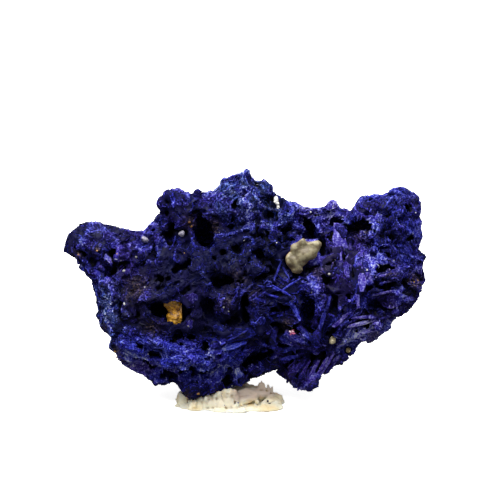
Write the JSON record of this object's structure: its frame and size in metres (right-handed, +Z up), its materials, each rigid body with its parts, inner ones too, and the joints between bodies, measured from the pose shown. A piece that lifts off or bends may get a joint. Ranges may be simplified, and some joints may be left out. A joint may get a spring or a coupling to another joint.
{
  "type": "azurite mineral specimen",
  "caption": "Rough mass of deep blue azurite crystals with open vugs and a few mineral grains, standing on a pad of mounting putty.",
  "frame": {"origin": "on the shelf, at the centre of the specimen's footprint", "axes": "+X along the longest side, -Y out of the display face, +Z up"},
  "size_m": [0.0421, 0.0188, 0.0271],
  "materials": {
    "azurite": "fine sparkling crystals, dusty in places",
    "calcite": "waxy, slightly translucent",
    "ochre": "earthy",
    "pale_grain": "earthy",
    "pink_grain": "satin",
    "putty": "soft and matt"
  },
  "bodies": {
    "root": {"azurite_mass": "azurite", "calcite_nugget": "calcite", "ochre_nugget": "ochre", "cream_grain": "pale_grain", "round_grain": "pale_grain", "ledge_grain": "pale_grain", "pale_grain": "pale_grain", "white_flake": "pale_grain", "pink_flake": "pink_grain", "putty_pad": "putty"}
  },
  "joints": []
}
